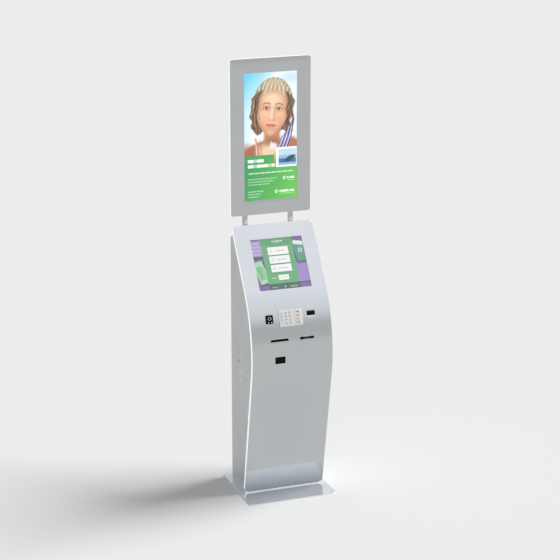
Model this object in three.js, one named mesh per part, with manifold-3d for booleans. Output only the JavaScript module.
// Ticket vending machine: a curved front panel on a sheet steel cabinet, with a tall advertising
// display carried on two posts above it.
//
// Millimetres, +Z up, +X to the customer's right, the customer stands on the -Y side.
// The origin is the centre of the base plate's underside, where the machine stands on the ground.
import * as THREE from "three";
import { mergeVertices } from "three/addons/utils/BufferGeometryUtils.js";
import Module from "manifold-3d";

const wasm = await Module();
wasm.setup();

const DEG = Math.PI / 180;

// ---------------------------------------------------------------- driving dimensions
const GAP = 0.3; // clearance between pieces that touch
const SHEET = 3; // cabinet sheet
const REACH = 50; // how far a through cutter runs past what it cuts
const OVERCUT = 1; // how far a pocket cutter or a joined piece runs past the face it meets

// facets round a full turn, and along a quarter turn of a corner
const ROD_FACETS = 20;
const PIN_FACETS = 16;
const HOLE_FACETS = 12;
const RIM_FACETS = 32;
const BORE_FACETS = 24;
const HEX_FACETS = 6;
const BASE_CORNER_FACETS = 8;
const DISPLAY_CORNER_FACETS = 6;
const PANEL_CORNER_FACETS = 3;

// base plate
const BASE_W = 500;
const BASE_D = 466;
const BASE_T = 6;
const BASE_CORNER_R = 28;
const ANCHOR_R = 7;
const ANCHOR_X = 150;
const ANCHOR_Y = 90;
const ANCHOR_MIDDLE_Y = 70;
const CABLE_HOLE_R = 16;
const CABLE_Y = 100;

// curved front panel, seen from the side: a straight foot that leans forward, one large arc,
// and a straight head that leans back
const FASCIA_W = 452;
const FASCIA_DEPTH = 27;
const FASCIA_SKIN = 3;
const FASCIA_EDGE_WALL = 6;
const FASCIA_CORNER_R = 22;
const CUTOUT_R = 3; // corners of the openings in the front panel
const NARROW_CUTOUT_R = 2;
const NECK_CLEAR = 1; // round what passes through the front panel
const FOOT_Y = -72;
const FOOT_Z = 12;
const HEAD_Z = 1470;
const LOWER_LEAN = 10.8 * DEG;
const UPPER_LEAN = 34.8 * DEG;
const BULGE_R = 647;
const BULGE_Z = 805.5;
const BULGE_STEPS = 16;

// cabinet behind the front panel
const SIDE_INSET = 23; // from the front panel's edge to the cabinet's side
const CABINET_BEHIND_HEAD = 103; // from the front panel's top edge to the cabinet's back
const EDGE_CLEAR = 2; // from the front panel's edge wall to the cabinet inside it
const CABINET_TOP_INSET = 14; // how far the front panel stands above the cabinet's top
const LIP_W = 14; // inner lip of the side panels, which the rear door closes on
const LIP_BACK = 2.5; // from the lip to the inside of the rear door
const SHELF_Z = 560;
const SHELF_D = 250;

// rear door
const DOOR_T = 3;
const DOOR_GAP = 1.5;
const HINGE_R = 4;
const HINGE_PIN_R = 2;
const HINGE_CLEAR = 0.3;
const HINGE_LEAF = 30;
const HINGE_LEAF_T = 2;
const HINGE_HALF = 30;
const HINGE_Z = [180, 1180];
const KNUCKLE_LAP = 3; // how far a leaf runs into its knuckle
const HINGE_STAND_OFF = 1; // from the door's outside to the hinge's knuckle
const HINGE_PIN_SHORT = 2; // how far the pin stops below the door knuckle's head
const VENT_W = 110;
const VENT_H = 6;
const VENT_R = 2;
const VENT_PITCH = 18;
const VENT_COUNT = 5;
const LATCH_X = -165;
const LATCH_Z = 760;
const LATCH_R = 10;
const LATCH_ROSE_R = 15;
const LATCH_ROSE_T = 4;
const LATCH_GRIP_W = 12;
const LATCH_GRIP_H = 44;
const LATCH_GRIP_T = 12;
const LATCH_GRIP_R = 5;
const LATCH_INSIDE = 18; // from the inside of the door to the cam
const CAM_LENGTH = 32;
const CAM_W = 14;
const FAN_SIZE = 120;
const FAN_DEPTH = 25;
const FAN_R = 56;
const FAN_HUB_R = 20;
const FAN_BLADES = 7;
const FAN_CORNER_R = 6;
const FAN_BLADE_T = 1.6;
const FAN_BLADE_W = 22;
const FAN_BLADE_TILT = 38 * DEG;
const FAN_TIP_CLEAR = 3;
const STRUT_T = 4;
const STRUT_W = 5;
const FAN_Z = 1080;

// touch screen, on the leaning head of the front panel
const TOUCH_W = 292;
const TOUCH_H = 287;
const TOUCH_Z = 1280.5;
const TOUCH_MARGIN = 11; // how far the glass runs under the front panel
const TOUCH_GLASS_T = 4;
const MONITOR_DEPTH = 42;
const MONITOR_WALL = 3;
const GLASS_CORNER_R = 4;

// keypad
const KEYPAD_W = 131;
const KEYPAD_H = 88;
const KEYPAD_Z = 1024;
const KEYPAD_T = 3.2;
const KEYPAD_R = 3;
const KEYPAD_BODY_W = 118;
const KEYPAD_BODY_H = 78;
const KEYPAD_BODY_DEPTH = 26;
const KEY_W = 18;
const KEY_WIDE_W = 38;
const KEY_H = 13;
const KEY_PROUD = 2.4;
const KEY_POCKET = 9;
const KEY_TRAVEL = 1.8;
const KEY_CLEAR = 0.6;
const KEY_R = 2;
const KEY_COLUMNS = [-49.5, -25.5, -1.5, 38.5];
const KEY_ROWS = [26.5, 8, -10.5, -29];

// coin entry, left of the keypad
const COIN_X = -119.5;
const COIN_Z = 1023;
const COIN_W = 38;
const COIN_H = 46;
const COIN_R = 4;
const COIN_PROUD = 7;
const COIN_BACK = 12;
const COIN_NECK_INSET = 2.5; // from the bezel's rim to the neck that passes the front panel
const COIN_SEAT = 1; // from the front panel to the back of the bezel's rim
const COIN_SLOT_W = 28;
const COIN_SLOT_H = 6.5;
const COIN_SLOT_R = 2;
const COIN_SLOT_DROP = 14;
const VALIDATOR_SLOT_CLEAR = 1;
const COIN_BUTTON_R = 6.5;
const COIN_BUTTON_RISE = 5;
const COIN_BUTTON_PROUD = 2;
const COIN_BUTTON_TRAVEL = 2.5;
const COIN_BUTTON_SEAT = 4; // how deep the button stays in its bore at the end of its travel
const VALIDATOR_W = 56;
const VALIDATOR_H = 80;
const VALIDATOR_DEPTH = 60;
const VALIDATOR_BACK = 2; // from the front panel's rim to the validator
const VALIDATOR_SLOT_DEPTH = 12;
const VALIDATOR_SHIFT = -22; // the validator sits left of its slot, clear of the printer
const CHUTE_SIZE = 32;
const CHUTE_WALL = 2;
const CHUTE_R = 4;
const CHUTE_BORE_R = 3;
const CHUTE_STEPS = 8;

// code reader window, right of the keypad
const READER_X = 115.5;
const READER_Z = 1035;
const READER_W = 46;
const READER_H = 24;
const READER_BODY = [58, 46, 38];
const WINDOW_MARGIN = 4;
const WINDOW_T = 3;
const WINDOW_R = 3;
const READER_BODY_R = 4;

// receipt and ticket outlet
const RECEIPT_X = -72;
const RECEIPT_Z = 912;
const RECEIPT_W = 96;
const RECEIPT_H = 9;
const MOUTH_MARGIN = 6;
const MOUTH_INSET = 1; // how much smaller the mouth's bore is than its opening
const MOUTH_DEPTH = 18;
const MOUTH_R = 3;
const PRINTER_W = 112;
const PRINTER_H = 80;
const PRINTER_DEPTH = 150;
const PRINTER_CHEEK = 10;
const PLATEN_R = 8;
const PLATEN_BACK = 4; // from the printer's front to the platen
const PLATEN_DROP = 1; // from the middle of the slot to the platen
const PAPER_R = 33;
const PAPER_W = 80;
const PAPER_BACK = 6; // from the paper roll to the printer's back
const PAPER_FLOOR = 4; // from the printer's floor to the paper roll
const CORE_PAST_PAPER = 3;
const CORE_R = 9;
const JOURNAL_R = 3;
const JOURNAL_CLEAR = 0.4;
const JOURNAL_SHORT = 1; // from a journal's end to the outside of the printer

// card reader
const CARD_X = 82;
const CARD_Z = 911;
const CARD_W = 78;
const CARD_H = 13;
const CARD_R = 2.5;
const CARD_NECK_INSET = 2; // from the mouth's rim to the neck that passes the front panel
const CARD_RIM_T = 0.5;
const CARD_PROUD = 1.6;
const CARD_BACK = 24;
const CARD_TRACK_DEPTH = 85;
const CARD_SLOT_W = 58;
const CARD_SLOT_H = 6.5;
const CARD_SLOT_R = 1;
const CARD_BODY = [90, 130, 44];
const CARD_BODY_R = 3;

// coin return cup with its flap
const CUP_X = -71;
const CUP_Z = 803.5;
const CUP_W = 57;
const CUP_H = 38;
const CUP_WALL = 2.5;
const CUP_DEPTH = 52;
const CUP_HEADROOM = 3; // above the opening, for the flap's pin
const CUP_SIDE_CLEAR = 1; // from the opening to the cup's inside
const FLAP_T = 2;
const FLAP_SIDE_CLEAR = 1;
const FLAP_PIN_R = 1.6;
const FLAP_PIN_IN_WALL = 1;
const FLAP_FLOOR_CLEAR = 2;
const FLAP_BACK = 2.6; // from the back of the front sheet to the flap's hinge axis

// key switch in the left side panel
const SWITCH_Y = 97;
const SWITCH_Z = 715;
const SWITCH_R = 8;
const SWITCH_DEPTH = 22;
const SWITCH_COLLAR_R = 10.5;
const SWITCH_COLLAR_T = 2;
const KEYWAY_W = 2;
const KEYWAY_H = 8;
const KEYWAY_DEPTH = 4;

// equipment inside
const COIN_BOX = [150, 140, 120];
const COMPUTER = [180, 190, 70];
const SUPPLY = [150, 110, 60];
const BOX_WALL = 2;
const EQUIPMENT_SIDE = 20; // from the cabinet's side to what stands in it
const PLUG_ROOM = 30; // behind the computer
const GLAND_R = 14;
const GLAND_BORE_R = 7;
const GLAND_TOP = 16; // above the cabinet's floor
const GLAND_NUT_R = 20;
const GLAND_NUT_T = 6;

// display and its posts
const DISPLAY_W = 450;
const DISPLAY_H = 843;
const DISPLAY_RISE = 46.5; // from the front panel's top edge to the display's underside
const DISPLAY_BEHIND_HEAD = 24;
const DISPLAY_DEPTH = 20;
const DISPLAY_PLATE = 2.5;
const DISPLAY_WALL = 6;
const DISPLAY_CORNER_R = 14;
const SCREEN_W = 296;
const SCREEN_H = 687;
const SCREEN_MARGIN = 8;
const SCREEN_R = 2;
const SCREEN_T = 12;
const COVER_W = 396;
const COVER_H = 760;
const COVER_WALL = 2.5;
const COVER_R = 16;
const COVER_FLANGE_R = 12;
const COVER_PAST_CABINET = 2;
const POST_R = 15;
const POST_WALL = 2.5;
const POST_X = 130;
const POST_INSIDE_CABINET = 26; // from the cabinet's back to the posts' axes
const CLAMP_W = 330;
const CLAMP_H = 44;
const CLAMP_FRONT = 22;
const CLAMP_BACK = 17;
const CLAMP_RISE = 163; // from the display's underside to its bracket
const POST_PAST_CLAMP = 40;
const CROSSBAR_DROP = 230; // below the front panel's top edge
const CROSSBAR_H = 44;
const CROSSBAR_FRONT = 6; // from the posts to the crossbar's front

// ---------------------------------------------------------------- finishes
const finish = (color, roughness, metalness) => ({ color, roughness, metalness });
const SILVER = finish(0xb9bfc6, 0.38, 0.55);
const EDGE_WHITE = finish(0xf6f7f8, 0.45, 0);
const SIDE_GREY = finish(0xa3a7a8, 0.45, 0.3);
const BEZEL_GREY = finish(0xb0b1b2, 0.5, 0.15);
const MIRROR_STEEL = finish(0xc9cbcc, 0.08, 1);
const BRUSHED_STEEL = finish(0xbdb8b0, 0.3, 1);
const KEY_STEEL = finish(0xd9d8d4, 0.35, 0.8);
const BLACK = finish(0x0d0e10, 0.4, 0);
const DARK_GLASS = finish(0x101418, 0.08, 0);
const ZINC = finish(0x9a9da0, 0.45, 0.9);
const RUBBER = finish(0x1b1c1d, 0.8, 0);
const PAPER = finish(0xf2f1ea, 0.85, 0);

// ---------------------------------------------------------------- solids
// A closed three.js geometry as a solid that can be cut and joined.
function solid(geometry) {
  const bare = geometry.clone();
  bare.deleteAttribute("normal");
  bare.deleteAttribute("uv");
  const merged = mergeVertices(bare, 1e-4);
  return new wasm.Manifold(
    new wasm.Mesh({
      numProp: 3,
      vertProperties: merged.attributes.position.array,
      triVerts: new Uint32Array(merged.index.array),
    }),
  );
}

// A solid as a three.js geometry with flat shading.
function geometryOf(shape) {
  const mesh = shape.getMesh();
  const geometry = new THREE.BufferGeometry();
  geometry.setAttribute("position", new THREE.BufferAttribute(mesh.vertProperties, 3));
  geometry.setIndex(new THREE.BufferAttribute(mesh.triVerts, 1));
  const flat = geometry.toNonIndexed();
  flat.computeVertexNormals();
  return flat;
}

const join = (first, ...rest) => rest.reduce((sum, piece) => sum.add(piece), first);
const cut = (first, ...rest) => rest.reduce((left, piece) => left.subtract(piece), first);

// A box from its low corner to its high corner.
function block(x0, x1, y0, y1, z0, z1) {
  const geometry = new THREE.BoxGeometry(x1 - x0, y1 - y0, z1 - z0);
  geometry.translate((x0 + x1) / 2, (y0 + y1) / 2, (z0 + z1) / 2);
  return solid(geometry);
}

// A rectangle with round corners, centred on the origin of its plane.
function roundedShape(width, height, radius) {
  const x = width / 2;
  const y = height / 2;
  const shape = new THREE.Shape();
  shape.moveTo(-x + radius, -y);
  shape.lineTo(x - radius, -y);
  shape.absarc(x - radius, -y + radius, radius, -Math.PI / 2, 0);
  shape.lineTo(x, y - radius);
  shape.absarc(x - radius, y - radius, radius, 0, Math.PI / 2);
  shape.lineTo(-x + radius, y);
  shape.absarc(-x + radius, y - radius, radius, Math.PI / 2, Math.PI);
  shape.lineTo(-x, -y + radius);
  shape.absarc(-x + radius, -y + radius, radius, Math.PI, 1.5 * Math.PI);
  return shape;
}

// A rounded rectangle in the XZ plane around (x, z), from y0 back to y1.
function slab(width, height, radius, y0, y1, x = 0, z = 0, steps = PANEL_CORNER_FACETS) {
  const geometry = new THREE.ExtrudeGeometry(roundedShape(width, height, radius), {
    depth: y1 - y0,
    bevelEnabled: false,
    curveSegments: steps,
  });
  geometry.rotateX(Math.PI / 2);
  geometry.translate(x, y1, z);
  return solid(geometry);
}

// A rounded rectangle lying in the XY plane, from z0 up to z1.
function floorSlab(width, depth, radius, z0, z1, steps) {
  const geometry = new THREE.ExtrudeGeometry(roundedShape(width, depth, radius), {
    depth: z1 - z0,
    bevelEnabled: false,
    curveSegments: steps,
  });
  geometry.translate(0, 0, z0);
  return solid(geometry);
}

// A side view outline, given as [y, z] points, carried along X from x0 to x1.
function prism(outline, x0, x1) {
  const shape = new THREE.Shape(outline.map(([y, z]) => new THREE.Vector2(y, z)));
  const geometry = new THREE.ExtrudeGeometry(shape, { depth: x1 - x0, bevelEnabled: false });
  const turn = new THREE.Matrix4().set(0, 0, 1, x0, 1, 0, 0, 0, 0, 1, 0, 0, 0, 0, 0, 1);
  geometry.applyMatrix4(turn);
  return solid(geometry);
}

// Round bars along each axis, from one end to the other.
function rodZ(radius, x, y, z0, z1, steps = ROD_FACETS) {
  const geometry = new THREE.CylinderGeometry(radius, radius, z1 - z0, steps);
  geometry.rotateX(Math.PI / 2);
  geometry.translate(x, y, (z0 + z1) / 2);
  return solid(geometry);
}
function rodY(radius, x, z, y0, y1, steps = ROD_FACETS) {
  const geometry = new THREE.CylinderGeometry(radius, radius, y1 - y0, steps);
  geometry.translate(x, (y0 + y1) / 2, z);
  return solid(geometry);
}
function rodX(radius, y, z, x0, x1, steps = ROD_FACETS) {
  const geometry = new THREE.CylinderGeometry(radius, radius, x1 - x0, steps);
  geometry.rotateZ(Math.PI / 2);
  geometry.translate((x0 + x1) / 2, y, z);
  return solid(geometry);
}

// ---------------------------------------------------------------- scene graph
const machine = new THREE.Group();

// Puts a solid into the scene as a named mesh with its own material.
function addPart(name, shape, look, parent = machine) {
  const material = new THREE.MeshStandardMaterial(look);
  const mesh = new THREE.Mesh(geometryOf(shape), material);
  mesh.name = name;
  parent.add(mesh);
  return mesh;
}

// ---------------------------------------------------------------- front panel's side view
const BEND_LOW = [
  FOOT_Y - Math.tan(LOWER_LEAN) * (BULGE_Z - BULGE_R * Math.sin(LOWER_LEAN) - FOOT_Z),
  BULGE_Z - BULGE_R * Math.sin(LOWER_LEAN),
];
const BULGE_CENTRE_Y = BEND_LOW[0] + BULGE_R * Math.cos(LOWER_LEAN);
const BEND_HIGH_Z = BULGE_Z + BULGE_R * Math.sin(UPPER_LEAN);
const FOOT_LENGTH = (BEND_LOW[1] - FOOT_Z) / Math.cos(LOWER_LEAN);
const ARC_LENGTH = BULGE_R * (LOWER_LEAN + UPPER_LEAN);
const HEAD_LENGTH = (HEAD_Z - BEND_HIGH_Z) / Math.cos(UPPER_LEAN);
const FASCIA_LENGTH = FOOT_LENGTH + ARC_LENGTH + HEAD_LENGTH;
const HEAD_Y =
  BULGE_CENTRE_Y - BULGE_R * Math.cos(UPPER_LEAN) + HEAD_LENGTH * Math.sin(UPPER_LEAN);

// What hangs on the front panel's top edge: the cabinet's back, the posts and the display.
const CABINET_W = FASCIA_W - 2 * SIDE_INSET;
const CABINET_REAR_Y = HEAD_Y + CABINET_BEHIND_HEAD;
const DISPLAY_FRONT_Y = HEAD_Y + DISPLAY_BEHIND_HEAD;
const DISPLAY_Z = HEAD_Z + DISPLAY_RISE;
const COVER_REAR_Y = CABINET_REAR_Y + COVER_PAST_CABINET;
const POST_Y = CABINET_REAR_Y - POST_INSIDE_CABINET;
const CLAMP_Z = DISPLAY_Z + CLAMP_RISE;
const POST_HEAD_Z = CLAMP_Z + POST_PAST_CLAMP;
const CROSSBAR_Z = HEAD_Z - CROSSBAR_DROP;
const POST_FOOT_Z = CROSSBAR_Z - CROSSBAR_H / 2 + SHEET + GAP;

// The front surface at a distance along it from the foot: its point, and how far it leans back.
function surfaceAt(along) {
  if (along <= FOOT_LENGTH) {
    const rise = along - FOOT_LENGTH;
    const y = BEND_LOW[0] - rise * Math.sin(LOWER_LEAN);
    return { y, z: BEND_LOW[1] + rise * Math.cos(LOWER_LEAN), lean: -LOWER_LEAN };
  }
  const turned = Math.min((along - FOOT_LENGTH) / BULGE_R - LOWER_LEAN, UPPER_LEAN);
  const past = Math.max(along - FOOT_LENGTH - ARC_LENGTH, 0);
  const y = BULGE_CENTRE_Y - BULGE_R * Math.cos(turned) + past * Math.sin(turned);
  return { y, z: BULGE_Z + BULGE_R * Math.sin(turned) + past * Math.cos(turned), lean: turned };
}

// How far along the front surface a height is.
function alongAt(z) {
  if (z <= BEND_LOW[1]) return (z - FOOT_Z) / Math.cos(LOWER_LEAN);
  if (z >= BEND_HIGH_Z) return FOOT_LENGTH + ARC_LENGTH + (z - BEND_HIGH_Z) / Math.cos(UPPER_LEAN);
  return FOOT_LENGTH + BULGE_R * (Math.asin((z - BULGE_Z) / BULGE_R) + LOWER_LEAN);
}

// The [y, z] point at a distance along the front surface and a depth behind it.
function behind(along, depth) {
  const { y, z, lean } = surfaceAt(along);
  return [y + depth * Math.cos(lean), z - depth * Math.sin(lean)];
}

// The points of the front surface, moved inward by depth, between two distances along it.
function fasciaCurve(from, to, depth) {
  const stops = [from];
  for (let i = 0; i <= BULGE_STEPS; i += 1) {
    const along = FOOT_LENGTH + (ARC_LENGTH * i) / BULGE_STEPS;
    if (along > from && along < to) stops.push(along);
  }
  stops.push(to);
  return stops.map((along) => behind(along, depth));
}

// A curved band that follows the front surface between two depths, with its ends moved in.
function fasciaBand(depth0, depth1, endInset, width) {
  const outer = fasciaCurve(endInset, FASCIA_LENGTH - endInset, depth0);
  const inner = fasciaCurve(endInset, FASCIA_LENGTH - endInset, depth1);
  return prism([...outer, ...inner.reverse()], -width / 2, width / 2);
}

// The front panel's outline seen from the front, with its sides moved in.
function fasciaOutline(inset) {
  const height = HEAD_Z - FOOT_Z - 2 * inset;
  const radius = FASCIA_CORNER_R - inset;
  const middle = (HEAD_Z + FOOT_Z) / 2;
  return slab(FASCIA_W - 2 * inset, height, radius, -BASE_D, BASE_D, 0, middle);
}

// A group on the front surface at (x, z). In it X points right, Y inward and Z up the surface.
function stationAt(x, z) {
  const { y, lean } = surfaceAt(alongAt(z));
  const station = new THREE.Group();
  station.position.set(x, y, z);
  station.rotation.x = -lean;
  machine.add(station);
  station.updateMatrixWorld(true);
  return station;
}

// A solid made in a station's own frame, moved to the machine's frame.
function placed(shape, station) {
  const geometry = geometryOf(shape).applyMatrix4(station.matrixWorld);
  return solid(geometry);
}

// The depth, in the frame of a station at this height, where a flat piece of this height clears the
// curved sheet's back.
function seatBehind(z, height) {
  const along = alongAt(z);
  const here = surfaceAt(along);
  const falls = [-height / 2, height / 2].map((step) => {
    const [y, up] = behind(along + step, 0);
    return (y - here.y) * Math.cos(here.lean) - (up - here.z) * Math.sin(here.lean);
  });
  return FASCIA_SKIN + GAP + Math.max(...falls);
}

const touchStation = stationAt(0, TOUCH_Z);
const keypadStation = stationAt(0, KEYPAD_Z);
const coinStation = stationAt(COIN_X, COIN_Z);
const readerStation = stationAt(READER_X, READER_Z);
const receiptStation = stationAt(RECEIPT_X, RECEIPT_Z);
const cardStation = stationAt(CARD_X, CARD_Z);
const cupStation = stationAt(CUP_X, CUP_Z);

// ---------------------------------------------------------------- base plate
const anchorSpots = [-1, 1].flatMap((sx) => [-1, 1].map((sy) => [sx * ANCHOR_X, sy * ANCHOR_Y]));
const footHoles = (z0, z1) => [
  ...anchorSpots.map(([x, y]) => rodZ(ANCHOR_R, x, y + ANCHOR_MIDDLE_Y, z0, z1, HOLE_FACETS)),
  rodZ(CABLE_HOLE_R, 0, CABLE_Y, z0, z1),
];
const basePlate = floorSlab(BASE_W, BASE_D, BASE_CORNER_R, 0, BASE_T, BASE_CORNER_FACETS);
addPart("base_plate", cut(basePlate, ...footHoles(-OVERCUT, BASE_T + OVERCUT)), MIRROR_STEEL);

// ---------------------------------------------------------------- front panel
const coinNeckW = COIN_W - 2 * COIN_NECK_INSET;
const coinNeckH = COIN_H - 2 * COIN_NECK_INSET;
const cardNeckW = CARD_W - 2 * CARD_NECK_INSET;
const cardNeckH = CARD_H - 2 * CARD_NECK_INSET;
const cutouts = [
  [TOUCH_W, TOUCH_H, CUTOUT_R, touchStation],
  [KEYPAD_BODY_W + 2 * NECK_CLEAR, KEYPAD_BODY_H + 2 * NECK_CLEAR, CUTOUT_R, keypadStation],
  [coinNeckW + NECK_CLEAR, coinNeckH + NECK_CLEAR, CUTOUT_R, coinStation],
  [READER_W, READER_H, CUTOUT_R, readerStation],
  [RECEIPT_W, RECEIPT_H, NARROW_CUTOUT_R, receiptStation],
  [cardNeckW + NECK_CLEAR, cardNeckH + NECK_CLEAR, NARROW_CUTOUT_R, cardStation],
  [CUP_W, CUP_H, NARROW_CUTOUT_R, cupStation],
].map(([width, height, radius, station]) =>
  placed(slab(width, height, radius, -REACH, REACH), station),
);
const skinSheet = fasciaBand(0, FASCIA_SKIN, 0, FASCIA_W).intersect(fasciaOutline(0));
addPart("fascia_skin", cut(skinSheet, ...cutouts), SILVER);

const edgeDepth = FASCIA_SKIN + GAP;
const edgeOuter = fasciaBand(edgeDepth, FASCIA_DEPTH, 0, FASCIA_W).intersect(fasciaOutline(0));
const edgeVoid = fasciaBand(
  edgeDepth - OVERCUT,
  FASCIA_DEPTH + OVERCUT,
  FASCIA_EDGE_WALL,
  FASCIA_W,
).intersect(fasciaOutline(FASCIA_EDGE_WALL));
addPart("fascia_edge_band", cut(edgeOuter, edgeVoid), EDGE_WHITE);

// ---------------------------------------------------------------- cabinet
const SIDE_X = CABINET_W / 2;
const INNER_X = SIDE_X - SHEET - GAP;
const FLOOR_Z = BASE_T + GAP;
const DOOR_INNER_Y = CABINET_REAR_Y - DOOR_T;
const topAlong = FASCIA_LENGTH - CABINET_TOP_INSET;
const skinBack = FASCIA_SKIN + GAP;
const edgeBack = FASCIA_DEPTH + GAP;

// Where the cabinet's top plane, moved down square to itself, meets a plane of constant Y.
function topPoint(y, drop) {
  const [y0, z0] = behind(topAlong - drop, 0);
  return [y, z0 - (y - y0) * Math.tan(UPPER_LEAN)];
}

// The cabinet's outline from the side; it runs into the front panel's tray, over its lower edge.
const clearOfEdge = FASCIA_EDGE_WALL + EDGE_CLEAR;
const [toeY, toeZ] = behind(0, edgeBack);
const sideOutline = [
  [CABINET_REAR_Y, FLOOR_Z],
  topPoint(CABINET_REAR_Y, 0),
  ...fasciaCurve(clearOfEdge, topAlong, skinBack).reverse(),
  behind(clearOfEdge, edgeBack),
  [toeY + (toeZ - FLOOR_Z) * Math.tan(LOWER_LEAN), FLOOR_Z],
];

const lipY = DOOR_INNER_Y - LIP_BACK;
const lipTop = topPoint(lipY, SHEET + EDGE_CLEAR)[1];
for (const [name, side] of [["left", -1], ["right", 1]]) {
  const outerX = side * SIDE_X;
  const innerX = side * (SIDE_X - SHEET);
  const lipX = side * (SIDE_X - SHEET - LIP_W);
  const wall = prism(sideOutline, Math.min(outerX, innerX), Math.max(outerX, innerX));
  const lip = block(
    Math.min(lipX, innerX + side * OVERCUT),
    Math.max(lipX, innerX + side * OVERCUT),
    lipY - SHEET,
    lipY,
    FLOOR_Z + SHEET + GAP,
    lipTop,
  );
  const switchHole = rodX(
    SWITCH_R + GAP,
    SWITCH_Y,
    SWITCH_Z,
    -SIDE_X - OVERCUT,
    -SIDE_X + SHEET + OVERCUT,
  );
  const panel = side < 0 ? cut(join(wall, lip), switchHole) : join(wall, lip);
  addPart("side_panel_" + name, panel, SIDE_GREY);
}

const topOutline = [
  topPoint(CABINET_REAR_Y, 0),
  topPoint(CABINET_REAR_Y, SHEET),
  behind(topAlong - SHEET, skinBack),
  behind(topAlong, skinBack),
];
const postHoles = [-1, 1].map((side) =>
  rodZ(POST_R + GAP, side * POST_X, POST_Y, POST_FOOT_Z - GAP, POST_HEAD_Z + REACH),
);
const topSheet = prism(topOutline.reverse(), -INNER_X, INNER_X);
addPart("cabinet_top", cut(topSheet, ...postHoles), SIDE_GREY);

const floorFront = behind(clearOfEdge, edgeBack)[0];
const floorBack = lipY - SHEET - GAP;
const floorSheet = block(-INNER_X, INNER_X, floorFront, floorBack, FLOOR_Z, FLOOR_Z + SHEET);
addPart("cabinet_floor", cut(floorSheet, ...footHoles(0, REACH)), SIDE_GREY);

const shelfBack = lipY - SHEET - GAP;
addPart(
  "equipment_shelf",
  block(-INNER_X, INNER_X, shelfBack - SHELF_D, shelfBack, SHELF_Z - SHEET, SHELF_Z),
  ZINC,
);

// ---------------------------------------------------------------- rear door
const doorX = SIDE_X - SHEET - DOOR_GAP;
const doorLow = FLOOR_Z + SHEET + DOOR_GAP;
const doorHigh = topPoint(CABINET_REAR_Y, SHEET)[1] - DOOR_GAP;
const hingeX = SIDE_X - SHEET;
const hingeY = CABINET_REAR_Y + HINGE_R + HINGE_STAND_OFF;
const throughDoor = [DOOR_INNER_Y - OVERCUT, CABINET_REAR_Y + OVERCUT];
const doorSheet = block(-doorX, doorX, DOOR_INNER_Y, CABINET_REAR_Y, doorLow, doorHigh);
const vents = [FAN_Z, 2 * doorLow + VENT_COUNT * VENT_PITCH].flatMap((middle) =>
  Array.from({ length: VENT_COUNT }, (_, i) => {
    const z = middle + (i - (VENT_COUNT - 1) / 2) * VENT_PITCH;
    return slab(VENT_W, VENT_H, VENT_R, ...throughDoor, 0, z, 1);
  }),
);
const knuckles = HINGE_Z.flatMap((z) => [
  cut(
    rodZ(HINGE_R, hingeX, hingeY, z + GAP, z + HINGE_HALF),
    rodZ(HINGE_PIN_R + HINGE_CLEAR, hingeX, hingeY, z, z + HINGE_HALF + OVERCUT, PIN_FACETS),
  ),
  block(
    hingeX - HINGE_LEAF,
    hingeX - HINGE_PIN_R - HINGE_CLEAR,
    DOOR_INNER_Y + OVERCUT,
    hingeY - HINGE_R + KNUCKLE_LAP,
    z + GAP,
    z + HINGE_HALF,
  ),
]);
const latchHole = rodY(LATCH_R + GAP, LATCH_X, LATCH_Z, ...throughDoor);
const door = cut(join(doorSheet, ...knuckles), latchHole, ...vents);
addPart("rear_door", door, SIDE_GREY);

for (const [name, z] of [["door_hinge_lower", HINGE_Z[0]], ["door_hinge_upper", HINGE_Z[1]]]) {
  const leafY = CABINET_REAR_Y + GAP;
  const leafX = SIDE_X + GAP;
  const hinge = join(
    rodZ(HINGE_R, hingeX, hingeY, z - HINGE_HALF, z),
    rodZ(HINGE_PIN_R, hingeX, hingeY, z - OVERCUT, z + HINGE_HALF - HINGE_PIN_SHORT, PIN_FACETS),
    block(hingeX, leafX + HINGE_LEAF_T, leafY, leafY + HINGE_LEAF_T, z - HINGE_HALF, z),
    block(leafX, leafX + HINGE_LEAF_T, leafY - HINGE_LEAF, leafY + OVERCUT, z - HINGE_HALF, z),
  );
  addPart(name, hinge, ZINC);
}

const camBack = DOOR_INNER_Y - LATCH_INSIDE;
const roseBack = CABINET_REAR_Y + LATCH_ROSE_T;
const latch = join(
  rodY(LATCH_R, LATCH_X, LATCH_Z, camBack, roseBack + OVERCUT),
  rodY(LATCH_ROSE_R, LATCH_X, LATCH_Z, CABINET_REAR_Y + GAP, roseBack),
  slab(
    LATCH_GRIP_W,
    LATCH_GRIP_H,
    LATCH_GRIP_R,
    roseBack,
    roseBack + LATCH_GRIP_T,
    LATCH_X,
    LATCH_Z,
  ),
  slab(
    CAM_W,
    CAM_LENGTH + CAM_W / 2,
    CAM_W / 2 - 1,
    camBack - SHEET,
    camBack + OVERCUT,
    LATCH_X,
    LATCH_Z + CAM_LENGTH / 2 - CAM_W / 4,
  ),
);
addPart("door_latch", latch, BLACK);

// ---------------------------------------------------------------- fan on the door
const fanBack = DOOR_INNER_Y - GAP;
const fanFront = fanBack - FAN_DEPTH;
const fanStruts = [1, -1].map((side) => {
  const geometry = new THREE.BoxGeometry(2 * (FAN_R + OVERCUT), STRUT_T, STRUT_W);
  geometry.rotateY((side * Math.PI) / 4);
  geometry.translate(0, fanBack - STRUT_T / 2, FAN_Z);
  return solid(geometry);
});
const fanFrame = join(
  cut(
    slab(FAN_SIZE, FAN_SIZE, FAN_CORNER_R, fanFront, fanBack, 0, FAN_Z),
    rodY(FAN_R, 0, FAN_Z, fanFront - OVERCUT, fanBack + OVERCUT, RIM_FACETS),
  ),
  rodY(FAN_HUB_R, 0, FAN_Z, fanBack - STRUT_T, fanBack),
  ...fanStruts,
);
addPart("fan_frame", fanFrame, BLACK);

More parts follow.
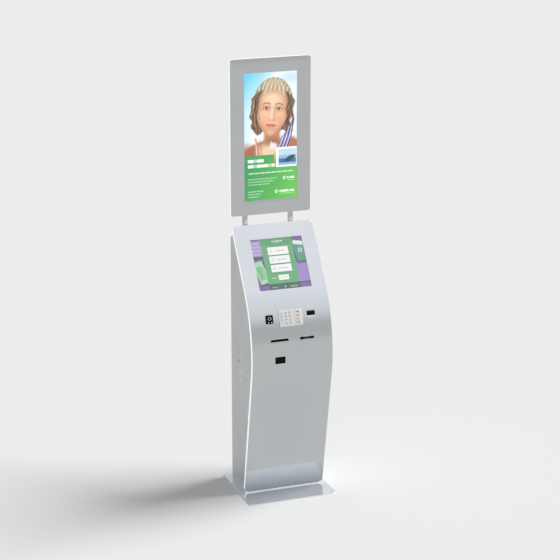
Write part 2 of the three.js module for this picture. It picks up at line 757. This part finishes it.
const rotorBack = fanBack - STRUT_T - OVERCUT;
const blades = Array.from({ length: FAN_BLADES }, (_, i) => {
  const geometry = new THREE.BoxGeometry(FAN_R - FAN_HUB_R, FAN_BLADE_T, FAN_BLADE_W);
  geometry.rotateX(FAN_BLADE_TILT);
  geometry.translate((FAN_R + FAN_HUB_R) / 2 - FAN_TIP_CLEAR, 0, 0);
  geometry.rotateY((i * 2 * Math.PI) / FAN_BLADES);
  geometry.translate(0, (rotorBack + fanFront) / 2, FAN_Z);
  return solid(geometry);
});
const rotor = join(rodY(FAN_HUB_R, 0, FAN_Z, fanFront + OVERCUT, rotorBack), ...blades);
addPart("fan_rotor", rotor, BLACK);

// ---------------------------------------------------------------- touch screen
const glassW = TOUCH_W + 2 * TOUCH_MARGIN;
const glassH = TOUCH_H + 2 * TOUCH_MARGIN;
const glassFront = seatBehind(TOUCH_Z, glassH);
const monitorFront = glassFront + TOUCH_GLASS_T + GAP;
addPart(
  "touch_glass",
  slab(glassW, glassH, GLASS_CORNER_R, glassFront, glassFront + TOUCH_GLASS_T),
  DARK_GLASS,
  touchStation,
);
const monitorShell = cut(
  slab(glassW, glassH, GLASS_CORNER_R, monitorFront, monitorFront + MONITOR_DEPTH),
  slab(
    glassW - 2 * MONITOR_WALL,
    glassH - 2 * MONITOR_WALL,
    GLASS_CORNER_R,
    monitorFront - OVERCUT,
    monitorFront + MONITOR_DEPTH - BOX_WALL,
  ),
);
addPart("touch_monitor", monitorShell, ZINC, touchStation);

// ---------------------------------------------------------------- keypad
const keypadFront = -GAP - KEYPAD_T;
const keySpots = KEY_ROWS.flatMap((z, row) =>
  KEY_COLUMNS.map((x, column) => ({
    name: `key_row${row + 1}_column${column + 1}`,
    width: column === KEY_COLUMNS.length - 1 ? KEY_WIDE_W : KEY_W,
    x,
    z,
  })),
);
const keypadHousing = cut(
  join(
    slab(KEYPAD_W, KEYPAD_H, KEYPAD_R, keypadFront, -GAP),
    slab(KEYPAD_BODY_W, KEYPAD_BODY_H, KEYPAD_R - NECK_CLEAR, keypadFront + OVERCUT, KEYPAD_BODY_DEPTH),
  ),
  ...keySpots.map(({ width, x, z }) =>
    slab(
      width + 2 * KEY_CLEAR,
      KEY_H + 2 * KEY_CLEAR,
      KEY_R + KEY_CLEAR,
      keypadFront - OVERCUT,
      keypadFront + KEY_POCKET,
      x,
      z,
      1,
    ),
  ),
);
addPart("keypad_housing", keypadHousing, KEY_STEEL, keypadStation);
for (const { name, width, x, z } of keySpots) {
  const back = keypadFront + KEY_POCKET - KEY_TRAVEL - GAP;
  const key = slab(width, KEY_H, KEY_R, keypadFront - KEY_PROUD, back, x, z, 1);
  addPart(name, key, KEY_STEEL, keypadStation);
}

// ---------------------------------------------------------------- coin entry
const buttonPocket = COIN_BUTTON_PROUD + COIN_BUTTON_TRAVEL + COIN_BUTTON_SEAT;
const coinBezel = cut(
  join(
    slab(COIN_W, COIN_H, COIN_R, -COIN_PROUD, -GAP - COIN_SEAT),
    slab(coinNeckW, coinNeckH, COIN_R - COIN_NECK_INSET, -COIN_SEAT - OVERCUT, COIN_BACK),
  ),
  slab(COIN_SLOT_W, COIN_SLOT_H, COIN_SLOT_R, -REACH, REACH, 0, -COIN_SLOT_DROP),
  rodY(COIN_BUTTON_R + GAP, 0, COIN_BUTTON_RISE, -REACH, -COIN_PROUD + buttonPocket),
);
addPart("coin_bezel", coinBezel, BLACK, coinStation);
const buttonFront = -COIN_PROUD - COIN_BUTTON_PROUD;
const buttonBack = -COIN_PROUD + buttonPocket - COIN_BUTTON_TRAVEL - GAP;
addPart(
  "coin_return_button",
  rodY(COIN_BUTTON_R, 0, COIN_BUTTON_RISE, buttonFront, buttonBack),
  EDGE_WHITE,
  coinStation,
);

const validatorFront = FASCIA_DEPTH + VALIDATOR_BACK;
const validatorTop = COIN_H / 2;
const validatorFoot = validatorTop - VALIDATOR_H;
const validator = cut(
  block(
    VALIDATOR_SHIFT - VALIDATOR_W / 2,
    VALIDATOR_SHIFT + VALIDATOR_W / 2,
    validatorFront,
    validatorFront + VALIDATOR_DEPTH,
    validatorFoot,
    validatorTop,
  ),
  slab(
    COIN_SLOT_W + 2 * VALIDATOR_SLOT_CLEAR,
    COIN_SLOT_H + 2 * VALIDATOR_SLOT_CLEAR,
    COIN_SLOT_R,
    0,
    validatorFront + VALIDATOR_SLOT_DEPTH,
    0,
    -COIN_SLOT_DROP,
  ),
);
addPart("coin_validator", validator, BLACK, coinStation);

// ---------------------------------------------------------------- code reader
const windowW = READER_W + 2 * WINDOW_MARGIN;
const windowH = READER_H + 2 * WINDOW_MARGIN;
const windowFront = seatBehind(READER_Z, windowH);
const windowBack = windowFront + WINDOW_T;
addPart(
  "reader_window",
  slab(windowW, windowH, WINDOW_R, windowFront, windowBack),
  DARK_GLASS,
  readerStation,
);
const [readerBodyW, readerBodyD, readerBodyH] = READER_BODY;
addPart(
  "reader_body",
  slab(
    readerBodyW,
    readerBodyH,
    READER_BODY_R,
    windowBack + GAP,
    windowBack + GAP + readerBodyD,
  ),
  BLACK,
  readerStation,
);

// ---------------------------------------------------------------- receipt outlet and printer
const mouthH = RECEIPT_H + 2 * MOUTH_MARGIN;
const mouthFront = seatBehind(RECEIPT_Z, mouthH);
const mouthBack = mouthFront + MOUTH_DEPTH;
const mouth = cut(
  slab(RECEIPT_W + 2 * MOUTH_MARGIN, mouthH, MOUTH_R, mouthFront, mouthBack),
  slab(
    RECEIPT_W - MOUTH_INSET,
    RECEIPT_H - MOUTH_INSET,
    NARROW_CUTOUT_R,
    mouthFront - OVERCUT,
    mouthBack + OVERCUT,
  ),
);
addPart("receipt_mouth", mouth, BLACK, receiptStation);

const printerFront = mouthBack + GAP;
const printerBack = printerFront + PRINTER_DEPTH;
const printerLow = -PRINTER_H + 2 * PLATEN_R + RECEIPT_H;
const printerHigh = printerLow + PRINTER_H;
const platenY = printerFront + PLATEN_R + PLATEN_BACK;
const platenZ = -PLATEN_R - PLATEN_DROP;
const paperY = printerBack - PAPER_R - PAPER_BACK;
const paperZ = printerLow + SHEET + PAPER_R + PAPER_FLOOR;
const cheekX = PRINTER_W / 2 - PRINTER_CHEEK;
const journals = [
  [platenY, platenZ],
  [paperY, paperZ],
].map(([y, z]) => rodX(JOURNAL_R + JOURNAL_CLEAR, y, z, -PRINTER_W, PRINTER_W, PIN_FACETS));
const printer = cut(
  block(-PRINTER_W / 2, PRINTER_W / 2, printerFront, printerBack, printerLow, printerHigh),
  block(
    -cheekX,
    cheekX,
    printerFront - OVERCUT,
    printerBack + OVERCUT,
    printerLow + SHEET,
    printerHigh + OVERCUT,
  ),
  ...journals,
);
addPart("receipt_printer", printer, ZINC, receiptStation);
const journalX = PRINTER_W / 2 - JOURNAL_SHORT;
const coreX = PAPER_W / 2 + CORE_PAST_PAPER;
const platen = join(
  rodX(PLATEN_R, platenY, platenZ, -coreX, coreX),
  rodX(JOURNAL_R, platenY, platenZ, -journalX, journalX, PIN_FACETS),
);
addPart("platen_roller", platen, RUBBER, receiptStation);
const paper = join(
  rodX(PAPER_R, paperY, paperZ, -PAPER_W / 2, PAPER_W / 2, RIM_FACETS),
  rodX(CORE_R, paperY, paperZ, -coreX, coreX),
  rodX(JOURNAL_R, paperY, paperZ, -journalX, journalX, PIN_FACETS),
);
addPart("paper_roll", paper, PAPER, receiptStation);

// ---------------------------------------------------------------- card reader
const cardMouth = cut(
  join(
    slab(CARD_W, CARD_H, CARD_R, -CARD_PROUD, -GAP),
    slab(cardNeckW, cardNeckH, CARD_NECK_INSET, -CARD_PROUD + CARD_RIM_T, CARD_BACK),
  ),
  slab(CARD_SLOT_W, CARD_SLOT_H, CARD_SLOT_R, -REACH, REACH),
);
addPart("card_mouth", cardMouth, BLACK, cardStation);
const [cardBodyW, cardBodyD, cardBodyH] = CARD_BODY;
const cardBody = cut(
  slab(cardBodyW, cardBodyH, CARD_BODY_R, CARD_BACK + GAP, CARD_BACK + GAP + cardBodyD),
  slab(CARD_SLOT_W, CARD_SLOT_H, CARD_SLOT_R, 0, CARD_BACK + CARD_TRACK_DEPTH),
);
addPart("card_reader", cardBody, ZINC, cardStation);

// ---------------------------------------------------------------- coin return cup and flap
const cupTop = CUP_H / 2 + CUP_WALL + CUP_HEADROOM;
const cupFront = seatBehind(CUP_Z, 2 * (cupTop + CUP_WALL));
const cupBack = cupFront + CUP_DEPTH;
const cupLow = -CUP_H / 2;
const cupInnerX = CUP_W / 2 + CUP_SIDE_CLEAR;
const flapY = cupFront + FLAP_BACK;
const flapZ = CUP_H / 2 + CUP_SIDE_CLEAR;
const chuteBore = CHUTE_SIZE - 2 * CHUTE_WALL;
const chuteY = cupBack - CUP_WALL - CHUTE_SIZE / 2;
const pinX = cupInnerX + FLAP_PIN_IN_WALL;
const cupShell = cut(
  block(
    -cupInnerX - CUP_WALL,
    cupInnerX + CUP_WALL,
    cupFront,
    cupBack,
    cupLow - CUP_WALL,
    cupTop + CUP_WALL,
  ),
  block(-cupInnerX, cupInnerX, cupFront - OVERCUT, cupBack - CUP_WALL, cupLow, cupTop),
  block(
    -cupInnerX - REACH,
    -cupInnerX + OVERCUT,
    chuteY - chuteBore / 2,
    chuteY + chuteBore / 2,
    -chuteBore / 2,
    chuteBore / 2,
  ),
  rodX(FLAP_PIN_R + GAP, flapY, flapZ, -pinX - GAP, pinX + GAP, HOLE_FACETS),
);
addPart("return_cup", cupShell, BLACK, cupStation);
const flapX = cupInnerX - FLAP_SIDE_CLEAR;
const flap = join(
  block(-flapX, flapX, flapY - FLAP_T / 2, flapY + FLAP_T / 2, cupLow + FLAP_FLOOR_CLEAR, flapZ),
  rodX(FLAP_PIN_R, flapY, flapZ, -pinX, pinX, HOLE_FACETS),
);
addPart("return_flap", flap, BLACK, cupStation);

// The chute drops from under the coin validator, beside the printer, and turns into the cup's side.
const chuteFoot = new THREE.Vector3(-cupInnerX - CUP_WALL - GAP, chuteY, 0);
chuteFoot.applyMatrix4(cupStation.matrixWorld);
const chuteHead = new THREE.Vector3(
  VALIDATOR_SHIFT - VALIDATOR_W / 2 + CHUTE_SIZE / 2,
  validatorFront + VALIDATOR_DEPTH / 2,
  validatorFoot - CHUTE_SIZE / 4,
);
chuteHead.applyMatrix4(coinStation.matrixWorld);
const chuteLine = new THREE.CubicBezierCurve3(
  chuteHead,
  new THREE.Vector3(chuteHead.x, (chuteHead.y + chuteFoot.y) / 2, chuteFoot.z + CHUTE_SIZE),
  new THREE.Vector3(chuteFoot.x - CHUTE_SIZE, chuteFoot.y, chuteFoot.z),
  chuteFoot,
);
const chuteShape = roundedShape(CHUTE_SIZE, CHUTE_SIZE, CHUTE_R);
chuteShape.holes.push(new THREE.Path(roundedShape(chuteBore, chuteBore, CHUTE_BORE_R).getPoints(1)));
const chuteGeometry = new THREE.ExtrudeGeometry(chuteShape, {
  steps: CHUTE_STEPS,
  extrudePath: chuteLine,
  curveSegments: 1,
});
addPart("coin_chute", solid(chuteGeometry), ZINC);

// ---------------------------------------------------------------- key switch
const keySwitch = cut(
  join(
    rodX(SWITCH_R, SWITCH_Y, SWITCH_Z, -SIDE_X - OVERCUT, -SIDE_X + SWITCH_DEPTH),
    rodX(SWITCH_COLLAR_R, SWITCH_Y, SWITCH_Z, -SIDE_X - SWITCH_COLLAR_T, -SIDE_X - GAP),
  ),
  block(
    -SIDE_X - SWITCH_COLLAR_T - OVERCUT,
    -SIDE_X + KEYWAY_DEPTH,
    SWITCH_Y - KEYWAY_W / 2,
    SWITCH_Y + KEYWAY_W / 2,
    SWITCH_Z - KEYWAY_H / 2,
    SWITCH_Z + KEYWAY_H / 2,
  ),
);
addPart("key_switch", keySwitch, BLACK);

// ---------------------------------------------------------------- equipment
// An equipment case with its low corner at (x, y, z), open at the back for its plugs.
function openCase(x, y, z, [width, depth, height]) {
  return cut(
    block(x, x + width, y, y + depth, z, z + height),
    block(
      x + BOX_WALL,
      x + width - BOX_WALL,
      y + BOX_WALL,
      y + depth + OVERCUT,
      z + BOX_WALL,
      z + height - BOX_WALL,
    ),
  );
}
const equipmentX = INNER_X - EQUIPMENT_SIDE;
const shelfFront = shelfBack - SHELF_D;
const computerX = equipmentX - COMPUTER[0];
const computerY = shelfBack - COMPUTER[1] - PLUG_ROOM;
addPart(
  "computer",
  openCase(computerX, computerY, SHELF_Z + GAP, COMPUTER),
  ZINC,
);
addPart(
  "power_supply",
  openCase(-equipmentX, floorFront + EQUIPMENT_SIDE, FLOOR_Z + SHEET + GAP, SUPPLY),
  ZINC,
);
const coinBoxX = -equipmentX;
const coinBox = cut(
  block(
    coinBoxX,
    coinBoxX + COIN_BOX[0],
    shelfFront,
    shelfFront + COIN_BOX[1],
    SHELF_Z + GAP,
    SHELF_Z + GAP + COIN_BOX[2],
  ),
  block(
    coinBoxX + BOX_WALL,
    coinBoxX + COIN_BOX[0] - BOX_WALL,
    shelfFront + BOX_WALL,
    shelfFront + COIN_BOX[1] - BOX_WALL,
    SHELF_Z + GAP + BOX_WALL,
    SHELF_Z + GAP + COIN_BOX[2] + OVERCUT,
  ),
);
addPart("coin_box", coinBox, ZINC);

const glandSeat = FLOOR_Z + SHEET;
const gland = cut(
  join(
    rodZ(GLAND_R, 0, CABLE_Y, BASE_T - 2, glandSeat + GLAND_TOP),
    rodZ(GLAND_NUT_R, 0, CABLE_Y, glandSeat + GAP, glandSeat + GLAND_NUT_T, HEX_FACETS),
  ),
  rodZ(GLAND_BORE_R, 0, CABLE_Y, 0, REACH, PIN_FACETS),
);
addPart("cable_gland", gland, BLACK);

// ---------------------------------------------------------------- posts
for (const [name, side] of [["left", -1], ["right", 1]]) {
  const x = side * POST_X;
  const tube = cut(
    rodZ(POST_R, x, POST_Y, POST_FOOT_Z, POST_HEAD_Z, RIM_FACETS),
    rodZ(
      POST_R - POST_WALL,
      x,
      POST_Y,
      POST_FOOT_Z - OVERCUT,
      POST_HEAD_Z + OVERCUT,
      BORE_FACETS,
    ),
  );
  addPart("post_" + name, tube, BRUSHED_STEEL);
}
const crossbar = cut(
  block(
    -INNER_X,
    INNER_X,
    POST_Y - POST_R - CROSSBAR_FRONT,
    lipY - SHEET - GAP,
    CROSSBAR_Z - CROSSBAR_H / 2,
    CROSSBAR_Z + CROSSBAR_H / 2,
  ),
  ...postHoles,
);
addPart("post_crossbar", crossbar, ZINC);

// ---------------------------------------------------------------- display
const displayStation = new THREE.Group();
displayStation.position.set(0, DISPLAY_FRONT_Y, DISPLAY_Z + DISPLAY_H / 2);
machine.add(displayStation);
displayStation.updateMatrixWorld(true);

const bezel = cut(
  slab(
    DISPLAY_W,
    DISPLAY_H,
    DISPLAY_CORNER_R,
    0,
    DISPLAY_PLATE,
    0,
    0,
    DISPLAY_CORNER_FACETS,
  ),
  slab(SCREEN_W, SCREEN_H, SCREEN_R / 2, -OVERCUT, DISPLAY_PLATE + OVERCUT),
);
addPart("display_bezel", bezel, BEZEL_GREY, displayStation);
const bandFront = DISPLAY_PLATE + GAP;
const band = cut(
  slab(
    DISPLAY_W,
    DISPLAY_H,
    DISPLAY_CORNER_R,
    bandFront,
    DISPLAY_DEPTH,
    0,
    0,
    DISPLAY_CORNER_FACETS,
  ),
  slab(
    DISPLAY_W - 2 * DISPLAY_WALL,
    DISPLAY_H - 2 * DISPLAY_WALL,
    DISPLAY_CORNER_R - DISPLAY_WALL,
    bandFront - OVERCUT,
    DISPLAY_DEPTH + OVERCUT,
    0,
    0,
    DISPLAY_CORNER_FACETS,
  ),
);
addPart("display_edge_band", band, EDGE_WHITE, displayStation);
addPart(
  "display_screen",
  slab(
    SCREEN_W + 2 * SCREEN_MARGIN,
    SCREEN_H + 2 * SCREEN_MARGIN,
    SCREEN_R,
    bandFront,
    bandFront + SCREEN_T,
  ),
  DARK_GLASS,
  displayStation,
);

const coverFront = DISPLAY_FRONT_Y + DISPLAY_DEPTH + GAP;
const coverMiddle = DISPLAY_Z + DISPLAY_H / 2;
const flangeW = DISPLAY_W - DISPLAY_WALL;
const flangeH = DISPLAY_H - DISPLAY_WALL;
const cover = cut(
  join(
    slab(COVER_W, COVER_H, COVER_R, coverFront, COVER_REAR_Y, 0, coverMiddle),
    slab(
      flangeW,
      flangeH,
      COVER_FLANGE_R,
      coverFront,
      coverFront + COVER_WALL,
      0,
      coverMiddle,
    ),
  ),
  slab(
    COVER_W - 2 * COVER_WALL,
    COVER_H - 2 * COVER_WALL,
    COVER_R - COVER_WALL,
    coverFront - OVERCUT,
    COVER_REAR_Y - COVER_WALL,
    0,
    coverMiddle,
  ),
  ...postHoles,
);
addPart("display_rear_cover", cover, SIDE_GREY);

const clamp = cut(
  block(
    -CLAMP_W / 2,
    CLAMP_W / 2,
    POST_Y - CLAMP_FRONT,
    POST_Y + CLAMP_BACK,
    CLAMP_Z - CLAMP_H / 2,
    CLAMP_Z + CLAMP_H / 2,
  ),
  ...postHoles,
);
addPart("display_bracket", clamp, ZINC);

export default machine;
